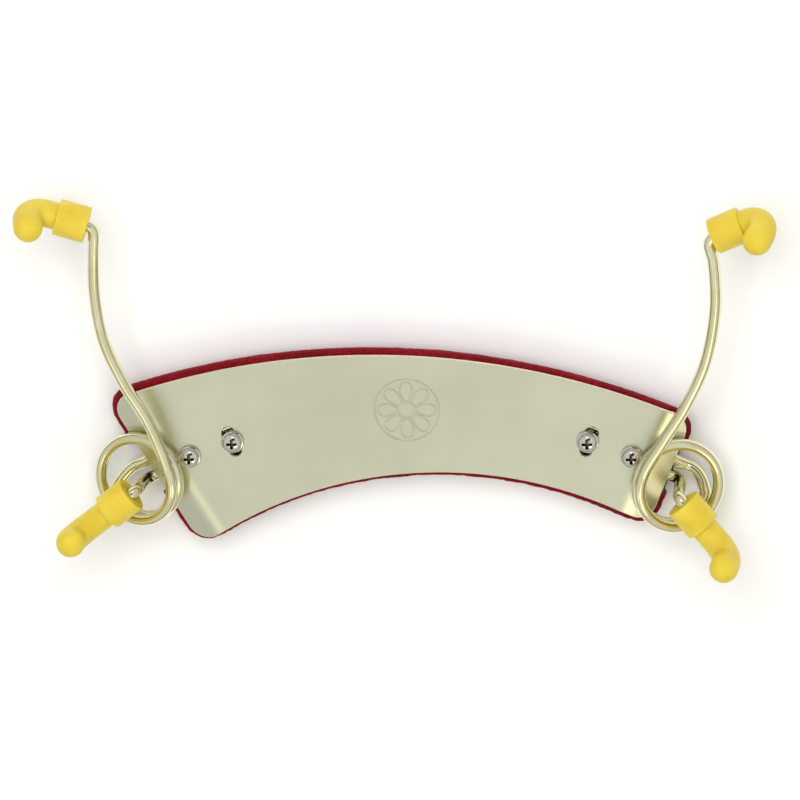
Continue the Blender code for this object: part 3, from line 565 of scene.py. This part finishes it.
for sign in (-1, 1):
    shape = bmesh.new()
    for z in (POCKET_FLOOR, PAD_THICKNESS + 2):
        shape.faces.new([shape.verts.new((x * MM, y * MM, z * MM)) for x, y in pocket_outline(sign)])
    shape.verts.ensure_lookup_table()
    half = len(shape.verts) // 2
    for i in range(half):
        j = (i + 1) % half
        shape.faces.new((shape.verts[i], shape.verts[j], shape.verts[j + half], shape.verts[i + half]))
    cutter = mesh_object("pocket_cutter", shape, grey_foam)
    pocket = pad.modifiers.new("pocket", "BOOLEAN")
    pocket.operation, pocket.solver, pocket.object = "DIFFERENCE", "MANIFOLD", cutter
    pocket.material_mode = "TRANSFER"
    bake_modifiers(pad)
    bpy.data.objects.remove(cutter)
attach(pad, "base")
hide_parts("velvet_cover", "foam_pad")

# Clamp brackets -------------------------------------------------------------------------------------
# Small zinc-plated strips under each end of the plate. The two screws pull each one up against the
# wire's hairpin, which lies between it and the plate.

WIRE_RADIUS, SHANK_RADIUS, GAP = 1.65, 1.45, 0.3
HAIRPIN_DEPTH = -PLATE_THICKNESS - GAP - WIRE_RADIUS
BRACKET_THICKNESS, BRACKET_HALF_WIDTH, BRACKET_END, BRACKET_CORNER = 1.6, 5.3, 3.2, 1.8
BRACKET_TOP = HAIRPIN_DEPTH - WIRE_RADIUS - GAP

# Bright zinc plating on pressed steel: a cool grey, softly mottled by the plating's crystals.
zinc, tree = new_material("bright_zinc_plated_steel")
place = add(tree, "ShaderNodeTexCoord")
crystals = add(tree, "ShaderNodeTexVoronoi", {"Vector": place.outputs["Object"], "Scale": 1 / (1.4 * MM)})
mottle = ramp(add(tree, "ShaderNodeValToRGB", {"Fac": crystals.outputs["Color"]}),
              (0.2, linear("a9adad")), (0.8, linear("c3c6c4")))
frost = add(tree, "ShaderNodeMapRange",
            {"Value": crystals.outputs["Distance"], "To Min": 0.28, "To Max": 0.42})
skin = add(tree, "ShaderNodeBsdfPrincipled",
           {"Base Color": mottle.outputs["Color"], "Metallic": 1.0, "Roughness": frost.outputs["Result"]})
add(tree, "ShaderNodeOutputMaterial", {"Surface": skin.outputs["BSDF"]})


def strip_outline(sign):
    """Round about the lock screw and cut off square past the pivot screw."""
    angle = math.atan2(LOCK_OFFSET.y, LOCK_OFFSET.x)
    axis = -LOCK_OFFSET.normalized()
    across = Vector((-axis.y, axis.x))
    quarter = math.pi / 2

    def outline(inset):
        aside = across * (BRACKET_HALF_WIDTH - BRACKET_CORNER)
        end = PIVOT + axis * (BRACKET_END - BRACKET_CORNER)
        points = arc_points(PIVOT + LOCK_OFFSET, BRACKET_HALF_WIDTH - inset,
                            angle - quarter, angle + quarter, 24)
        points += arc_points(end - aside, BRACKET_CORNER - inset, angle + quarter, angle + 2 * quarter, 8)
        points += arc_points(end + aside, BRACKET_CORNER - inset, angle + 2 * quarter, angle + 3 * quarter, 8)
        return [(sign * x, y) for x, y in points]

    return outline


for side, sign in (("left", -1), ("right", 1)):
    holes = [hole((sign * spot.x, spot.y)) for spot in (PIVOT, PIVOT + LOCK_OFFSET)]
    strip = blanked_sheet([strip_outline(sign), *holes], BRACKET_THICKNESS, 0.3, plate_top + BRACKET_TOP)
    bracket = mesh_object(side + "_bracket", strip, zinc)
    weigh_normals(bracket)
    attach(bracket, side + "_leg")
    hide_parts(side + "_clamp_bracket")

# Wire legs ------------------------------------------------------------------------------------------
# Each leg is one length of 3.3 mm spring wire. From the long arm's foot it runs down to a coil of a
# turn and a third, spirals in under the plate, loops round both screws and comes up to the short arm.

COIL_RADIUS, COIL_TILT, COIL_PITCH, COIL_HEIGHT = 11.6, math.radians(22), 3.55, 3.4
COIL_AXIS = Vector((math.sin(COIL_TILT), 0, math.cos(COIL_TILT)))
COIL_JOIN, COIL_END, COIL_EASE = 24.0, -450, 12  # degrees: at the arm, at the spiral, and to ease into it
INNER_HEIGHTS = (-4.3, -5.1, -5.8, -6.1, -6.05)
RISER = Vector((12.9, -8.3, -6.5))
HAIRPIN_HALF = SHANK_RADIUS + GAP + WIRE_RADIUS
HAIRPIN_LEVEL, HAIRPIN_MOUTH, WIRE_CORNER, MOUTH_OFFSET, WIRE_IN_FOOT = 2.8, 6.0, 2.6, 2.0, 10.9
FOOT_HEIGHT, TIP_HEIGHT, TIP_RADIUS = 9.0, 21.3, 4.0
# The wires are bent by hand, so the sides differ a little. Points are from the pivot screw, with X
# outwards: the coil, the spiral in, the long arm, then each foot's wire corner, bearing and tip.
LEGS = {
    "left": {
        "sign": -1,
        "coil": (15.2, -6.1),
        "spiral": ((21.7, -13.2), (21.2, -10.4), (18.9, -7.2), (16.5, -5.0), (13.4, -3.6)),
        "arm": ((10.0, 12.3), (16.3, 23.9), (21.3, 36.5), (23.2, 50.0), (22.9, 63.0)),
        "upper": {"corner": (22.3, 69.3), "bearing": 17.2, "reach": 17.7, "tip": (39.4, 72.0)},
        "lower": {"corner": (13.8, -6.6), "bearing": -37.7, "reach": 21.3, "tip": (31.7, -19.1)},
    },
    "right": {
        "sign": 1,
        "coil": (13.4, -7.9),
        "spiral": ((19.1, -13.4), (19.0, -10.0), (17.7, -7.0), (15.7, -5.2), (12.8, -3.9)),
        "arm": ((9.8, 7.4), (16.1, 17.5), (22.0, 30.6), (25.0, 46.0), (24.8, 60.0)),
        "upper": {"corner": (23.3, 65.7), "bearing": 23.5, "reach": 18.0, "tip": (37.7, 68.0)},
        "lower": {"corner": (13.2, -8.7), "bearing": -51.8, "reach": 19.7, "tip": (25.9, -26.3)},
    },
}
STRAND = -Vector((*LOCK_OFFSET, 0)).normalized()  # the hairpin's strands run along this
STRAND_ASIDE = Vector((-STRAND.y, STRAND.x, 0)) * HAIRPIN_HALF
STRAND_DEEP = Vector((0, 0, HAIRPIN_DEPTH))

# Cold-drawn spring steel with bright champagne plating: a hard, clean mirror with faint draw marks,
# a touch yellower than the plate, and slightly duller in patches where it has been handled.
gilt_wire, tree = new_material("bright_champagne_plated_wire")
place = add(tree, "ShaderNodeTexCoord")
marks = add(tree, "ShaderNodeTexNoise",
            {"Vector": place.outputs["Object"], "Scale": 1 / (0.5 * MM), "Detail": 2.0})
handled = add(tree, "ShaderNodeTexNoise",
              {"Vector": place.outputs["Object"], "Scale": 1 / (9 * MM), "Detail": 2.0})
tone = ramp(add(tree, "ShaderNodeValToRGB", {"Fac": handled.outputs["Fac"]}),
            (0.35, linear("e6e0b4")), (0.65, linear("f0ebc6")))
gloss = add(tree, "ShaderNodeMapRange",
            {"Value": handled.outputs["Fac"], "From Min": 0.3, "From Max": 0.7, "To Min": 0.12, "To Max": 0.18})
ripple = add(tree, "ShaderNodeBump",
             {"Height": marks.outputs["Fac"], "Strength": 0.15, "Distance": 0.01 * MM})
skin = add(tree, "ShaderNodeBsdfPrincipled",
           {"Base Color": tone.outputs["Color"], "Metallic": 1.0, "Roughness": gloss.outputs["Result"],
            "Normal": ripple.outputs["Normal"]})
add(tree, "ShaderNodeOutputMaterial", {"Surface": skin.outputs["BSDF"]})


def bent_wire(corners, radii, step=0.8):
    """Straight runs through the corners, each corner rounded to its radius, as points."""
    points = [corners[0]]
    for before, corner, after, radius in zip(corners, corners[1:], corners[2:], radii):
        back, ahead = (before - corner).normalized(), (after - corner).normalized()
        half = back.angle(ahead) / 2
        centre = corner + (back + ahead).normalized() * (radius / math.sin(half))
        start = corner + back * (radius / math.tan(half)) - centre
        turned = math.pi - 2 * half
        axis = back.cross(ahead).normalized()
        count = max(6, math.ceil(turned * radius / step))
        points += [centre + Matrix.Rotation(-turned * i / count, 3, axis) @ start for i in range(count + 1)]
    points.append(corners[-1])
    result = [points[0]]
    for point in points[1:]:
        gap = (point - result[-1]).length
        if gap > 0.05:
            last, pieces = result[-1], max(1, round(gap / (2 * step)))
            result += [last.lerp(point, (i + 1) / pieces) for i in range(pieces)]
    return result


def curve_through(points, step=0.8):
    """A smooth curve through all points but the first and last, which set the end directions."""
    result = [points[1]]
    for a, b, c, d in zip(points, points[1:], points[2:], points[3:]):
        count = max(2, round((c - b).length / step))
        for t in ((i + 1) / count for i in range(count)):
            result.append(0.5 * (2 * b + (c - a) * t + (2 * a - 5 * b + 4 * c - d) * t * t
                                 + (3 * b - a - 3 * c + d) * t**3))
    return result


def in_place(leg, point):
    """A point of the leg's own frame, whose X runs outwards from the pivot screw, in the part's frame."""
    return Vector((leg["sign"] * (PIVOT.x + point[0]), PIVOT.y + point[1], plate_top + point[2]))


def coil_point(leg, angle, radius=COIL_RADIUS):
    """0 degrees is the side nearest the plate's middle; smaller angles lie further down the coil."""
    a = math.radians(angle)
    inward = Vector((-math.cos(COIL_TILT), 0, math.sin(COIL_TILT)))
    around = inward * math.cos(a) + Vector((0, 1, 0)) * math.sin(a)
    rise = COIL_AXIS * (COIL_PITCH * (angle - COIL_JOIN) / 360)
    return Vector((*leg["coil"], COIL_HEIGHT)) + around * radius + rise


def foot_frame(leg, which):
    """A foot's wire corner, the direction out of it, the foot's elbow and the middle of its tip."""
    foot = leg[which]
    corner = Vector((*foot["corner"], FOOT_HEIGHT))
    bearing = math.radians(foot["bearing"])
    out = Vector((math.cos(bearing), math.sin(bearing), 0))
    tip = Vector((*foot["tip"], TIP_HEIGHT - TIP_RADIUS))
    return corner, out, corner + out * (MOUTH_OFFSET + foot["reach"]), tip


def arm_and_coil(leg):
    """From inside the upper foot down the long arm, the coil and the spiral to beside the pivot screw."""
    corner, out = foot_frame(leg, "upper")[:2]
    start = coil_point(leg, COIL_JOIN)
    rise = (FOOT_HEIGHT - start.z) / len(leg["arm"])
    arm = [Vector((x, y, start.z + rise * (i + 1))) for i, (x, y) in enumerate(leg["arm"])]
    up = curve_through([coil_point(leg, COIL_JOIN - 45), start, *arm, corner])
    up = up[:-1] + bent_wire([up[-1], corner, corner + out * (MOUTH_OFFSET + WIRE_IN_FOOT)], [WIRE_CORNER])
    spiral = [Vector((x, y, z)) for (x, y), z in zip(leg["spiral"], INNER_HEIGHTS)]
    hairpin = STRAND * HAIRPIN_LEVEL + STRAND_ASIDE + STRAND_DEEP
    down = [coil_point(leg, angle / 2) for angle in range(int(2 * COIL_JOIN), 2 * COIL_END, -9)]
    joint = [coil_point(leg, COIL_END), coil_point(leg, COIL_END - COIL_EASE, COIL_RADIUS - 0.3)]
    down += curve_through([coil_point(leg, COIL_END + COIL_EASE), *joint, *spiral, hairpin])
    end = -STRAND * (LOCK_OFFSET.length + HAIRPIN_HALF) + STRAND_DEEP
    turn = HAIRPIN_HALF - 0.02
    loop = [spiral[-1], hairpin, end + STRAND_ASIDE, end - STRAND_ASIDE, STRAND_DEEP - STRAND_ASIDE]
    under = bent_wire(loop, [HAIRPIN_MOUTH, turn, turn])
    return up[::-1] + down[1:] + under[1:]


def short_arm(leg):
    """From under the plate, beside the pivot screw, out and up through the coil to the lower foot."""
    corner, out = foot_frame(leg, "lower")[:2]
    level = STRAND * HAIRPIN_LEVEL - STRAND_ASIDE + STRAND_DEEP
    corners = [STRAND_DEEP - STRAND_ASIDE, level, RISER, corner, corner + out * (MOUTH_OFFSET + WIRE_IN_FOOT)]
    return bent_wire(corners, [HAIRPIN_MOUTH, WIRE_CORNER + 0.6, WIRE_CORNER])


def drawn_wire(name, leg, path):
    points = [in_place(leg, point) for point in path]
    return lofted(name, [(p, d, WIRE_RADIUS) for p, d in zip(points, directions(points))], gilt_wire, 28)


for side, leg in LEGS.items():
    spring = drawn_wire(side + "_arm_and_spring", leg, arm_and_coil(leg))
    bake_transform(spring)
    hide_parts(side + "_long_arm", side + "_coil_spring")
    short = drawn_wire(side + "_lower_wire", leg, short_arm(leg))
    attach(short, side + "_leg")
    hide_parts(side + "_short_arm")

# Screws and washers ---------------------------------------------------------------------------------
# Nickel-plated M3 pan heads with a cross recess, each on a plain washer. The outer one of each pair is
# the leg's pivot, and the inner one locks it in the slot.

HEAD_RADIUS, HEAD_HEIGHT, HEAD_SIDE, WASHER_RADIUS, WASHER_THICKNESS = 2.75, 1.9, 0.55, 3.1, 0.4
HEAD_BOTTOM = GAP + WASHER_THICKNESS + GAP
SCREW_END = BRACKET_TOP - BRACKET_THICKNESS - 0.5
RECESS_LENGTH, RECESS_WIDTH, RECESS_DEPTH = 3.1, 0.85, 1.4

# Bright nickel plating: a warm white mirror that is a little hazy, with faint turning rings.
nickel, tree = new_material("bright_nickel_plated_steel")
place = add(tree, "ShaderNodeTexCoord")
haze = add(tree, "ShaderNodeTexNoise",
           {"Vector": place.outputs["Object"], "Scale": 1 / (0.8 * MM), "Detail": 2.0})
tone = ramp(add(tree, "ShaderNodeValToRGB", {"Fac": haze.outputs["Fac"]}),
            (0.3, linear("d2cfc6")), (0.7, linear("e2dfd7")))
gloss = add(tree, "ShaderNodeMapRange", {"Value": haze.outputs["Fac"], "To Min": 0.07, "To Max": 0.16})
skin = add(tree, "ShaderNodeBsdfPrincipled",
           {"Base Color": tone.outputs["Color"], "Metallic": 1.0, "Roughness": gloss.outputs["Result"]})
add(tree, "ShaderNodeOutputMaterial", {"Surface": skin.outputs["BSDF"]})

# The punched recess, where plating is thin and some oil and dust collect: brown-black, dull metal,
# mostly painted shade for the deep hollow, with a little grime.
recess_painted_shade, tree = new_material("punched_recess_painted_shade")
place = add(tree, "ShaderNodeTexCoord")
shade_and_grime = add(tree, "ShaderNodeTexNoise",
            {"Vector": place.outputs["Object"], "Scale": 1 / (0.4 * MM), "Detail": 2.0})
# Brown-black to dull grey-brown: painted shade in the recess, with a little grime.
tone = ramp(add(tree, "ShaderNodeValToRGB", {"Fac": shade_and_grime.outputs["Fac"]}),
            (0.3, linear("3c372c")), (0.7, linear("857e68")))
skin = add(tree, "ShaderNodeBsdfPrincipled",
           {"Base Color": tone.outputs["Color"], "Metallic": 1.0, "Roughness": 0.4})
add(tree, "ShaderNodeOutputMaterial", {"Surface": skin.outputs["BSDF"]})


def turned_piece(name, spot, profile, closed=False):
    """A lathe-turned piece: radius and height pairs about a vertical line through spot."""
    up = Vector((0, 0, 1))
    return lofted(name, [(spot + up * z, up, radius) for radius, z in profile], nickel, 64, closed)


def cross_recess(spot):
    """The cross-shaped plug that punches the recess, narrowing downwards."""
    shape, rings = bmesh.new(), []
    for z, scale in ((RECESS_DEPTH, 1.45), (-RECESS_DEPTH, 0.55)):
        long, half = RECESS_LENGTH / 2 * scale, RECESS_WIDTH / 2 * (0.6 + 0.4 * scale)
        corners = [Matrix.Rotation(math.pi / 2 * i, 2) @ Vector(p)
                   for i in range(4) for p in ((long, -half), (long, half), (half, half))]
        rings.append([shape.verts.new((spot + Vector((*c, z))) * MM) for c in corners])
    for i in range(len(rings[0])):
        shape.faces.new((rings[0][i - 1], rings[1][i - 1], rings[1][i], rings[0][i]))
    shape.faces.new(rings[0])
    shape.faces.new(rings[1])
    return mesh_object("recess_cutter", shape, recess_painted_shade)


dome = [(HEAD_RADIUS * math.sin(a), HEAD_BOTTOM + HEAD_SIDE + (HEAD_HEIGHT - HEAD_SIDE) * math.cos(a))
        for a in (math.radians(max(2, 7.5 * i)) for i in range(13))]
rim = [(HEAD_RADIUS, HEAD_BOTTOM + 0.15), (HEAD_RADIUS - 0.15, HEAD_BOTTOM)]
shank = [(SHANK_RADIUS, HEAD_BOTTOM), (SHANK_RADIUS, SCREW_END + 0.3), (SHANK_RADIUS - 0.3, SCREW_END)]
low, high, soft = GAP, GAP + WASHER_THICKNESS, 0.08
flat_ring = [(HOLE_RADIUS, high - soft), (HOLE_RADIUS + soft, high),
             (WASHER_RADIUS - soft, high), (WASHER_RADIUS, high - soft),
             (WASHER_RADIUS, low + soft), (WASHER_RADIUS - soft, low),
             (HOLE_RADIUS + soft, low), (HOLE_RADIUS, low + soft)]
for side, leg in LEGS.items():
    for kind, offset in (("pivot", (0, 0)), ("lock", LOCK_OFFSET)):
        spot = in_place(leg, (*offset, 0))
        washer = turned_piece(f"{side}_{kind}_ring", spot, flat_ring, True)
        weigh_normals(washer)
        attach(washer, side + "_leg")
        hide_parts(f"{side}_{kind}_washer")
        screw = turned_piece(f"{side}_{kind}_pan_screw", spot, dome + rim + shank)
        screw.data.set_sharp_from_angle(angle=math.radians(35))
        cutter = cross_recess(spot + Vector((0, 0, HEAD_BOTTOM + HEAD_HEIGHT)))
        punch = screw.modifiers.new("recess", "BOOLEAN")
        punch.operation, punch.solver, punch.object = "DIFFERENCE", "EXACT", cutter
        punch.material_mode = "TRANSFER"
        bake_modifiers(screw)
        bpy.data.objects.remove(cutter)
        screw.data.set_sharp_from_angle(angle=math.radians(35))
        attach(screw, f"{side}_{kind}_fastener")
        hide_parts(f"{side}_{kind}_screw")

# Rubber feet ----------------------------------------------------------------------------------------
# Moulded natural-rubber hooks pushed over the wire's ends. A thick collar lies level on the violin's
# edge, and a thinner finger turns up past it and ends in a dome.

COLLAR_RADIUS, COLLAR_LENGTH, COLLAR_EDGE = 5.05, 8.7, 0.35
TUBE_RADIUS, FOOT_BEND, BORE_DEPTH, BORE_RADIUS = 3.75, 4.6, 11.5, WIRE_RADIUS + 0.2

# Translucent amber rubber, moulded smooth: light soaks in and glows yellow at thin places, the
# surface is waxy with a slight bloom, and fine pits and dust break up the highlights.
amber_rubber, tree = new_material("moulded_amber_rubber")
place = add(tree, "ShaderNodeTexCoord")
bloom = add(tree, "ShaderNodeTexNoise",
            {"Vector": place.outputs["Object"], "Scale": 1 / (6 * MM), "Detail": 3.0})
pits = add(tree, "ShaderNodeTexNoise",
           {"Vector": place.outputs["Object"], "Scale": 1 / (0.35 * MM), "Detail": 2.0})
tone = ramp(add(tree, "ShaderNodeValToRGB", {"Fac": bloom.outputs["Fac"]}),
            (0.3, linear("dabf32")), (0.7, linear("e5cf45")))
gloss = add(tree, "ShaderNodeMapRange", {"Value": bloom.outputs["Fac"], "To Min": 0.36, "To Max": 0.52})
waxy = add(tree, "ShaderNodeBump", {"Height": pits.outputs["Fac"], "Strength": 0.25, "Distance": 0.03 * MM})
skin = add(tree, "ShaderNodeBsdfPrincipled",
           {"Base Color": tone.outputs["Color"], "Roughness": gloss.outputs["Result"], "IOR": 1.52,
            "Subsurface Weight": 0.6, "Subsurface Radius": (1.0, 0.75, 0.18), "Subsurface Scale": 3 * MM,
            "Normal": waxy.outputs["Normal"]})
add(tree, "ShaderNodeOutputMaterial", {"Surface": skin.outputs["BSDF"]})


def rubber_foot(name, leg, which):
    corner, out, elbow, tip = foot_frame(leg, which)
    mouth = corner + out * MOUTH_OFFSET
    quarter = [math.radians(22.5 * i) for i in range(5)]
    lip = BORE_RADIUS + 0.3
    stations = [(BORE_DEPTH, BORE_RADIUS), (0.3, BORE_RADIUS), (0.1, BORE_RADIUS + 0.1), (0.0, lip)]
    stations += [(COLLAR_EDGE * (1 - math.cos(a)), COLLAR_RADIUS - COLLAR_EDGE * (1 - math.sin(a)))
                 for a in quarter]
    stations += [(COLLAR_LENGTH - COLLAR_EDGE * (1 - math.sin(a)),
                  COLLAR_RADIUS - COLLAR_EDGE * (1 - math.cos(a))) for a in quarter]
    stations += [(COLLAR_LENGTH, TUBE_RADIUS + 0.3), (COLLAR_LENGTH + 0.1, TUBE_RADIUS + 0.06)]
    rings = [(mouth + out * along, out, radius) for along, radius in stations]
    finger = bent_wire([mouth + out * (COLLAR_LENGTH + 0.4), elbow, tip], [FOOT_BEND], 0.6)
    last = len(finger) - 1
    for i, (point, way) in enumerate(zip(finger, directions(finger))):
        rings.append((point, way, TUBE_RADIUS + (TIP_RADIUS - TUBE_RADIUS) * i / last))
    up = (tip - elbow).normalized()
    for a in (math.radians(9 * i) for i in range(1, 10)):
        rings.append((tip + up * TIP_RADIUS * math.sin(a), up, TIP_RADIUS * math.cos(a)))
    sign = Vector((leg["sign"], 1, 1))
    placed = [(in_place(leg, point), Vector(w * s for w, s in zip(way, sign)), radius)
              for point, way, radius in rings]
    foot = lofted(name, placed, amber_rubber, 48)
    foot.data.set_sharp_from_angle(angle=math.radians(60))
    return foot


for side, leg in LEGS.items():
    for which, body in (("upper", "_arm"), ("lower", "_leg")):
        foot = rubber_foot(f"{side}_{which}_rubber", leg, which)
        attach(foot, side + body)
        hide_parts(f"{side}_{which}_foot")
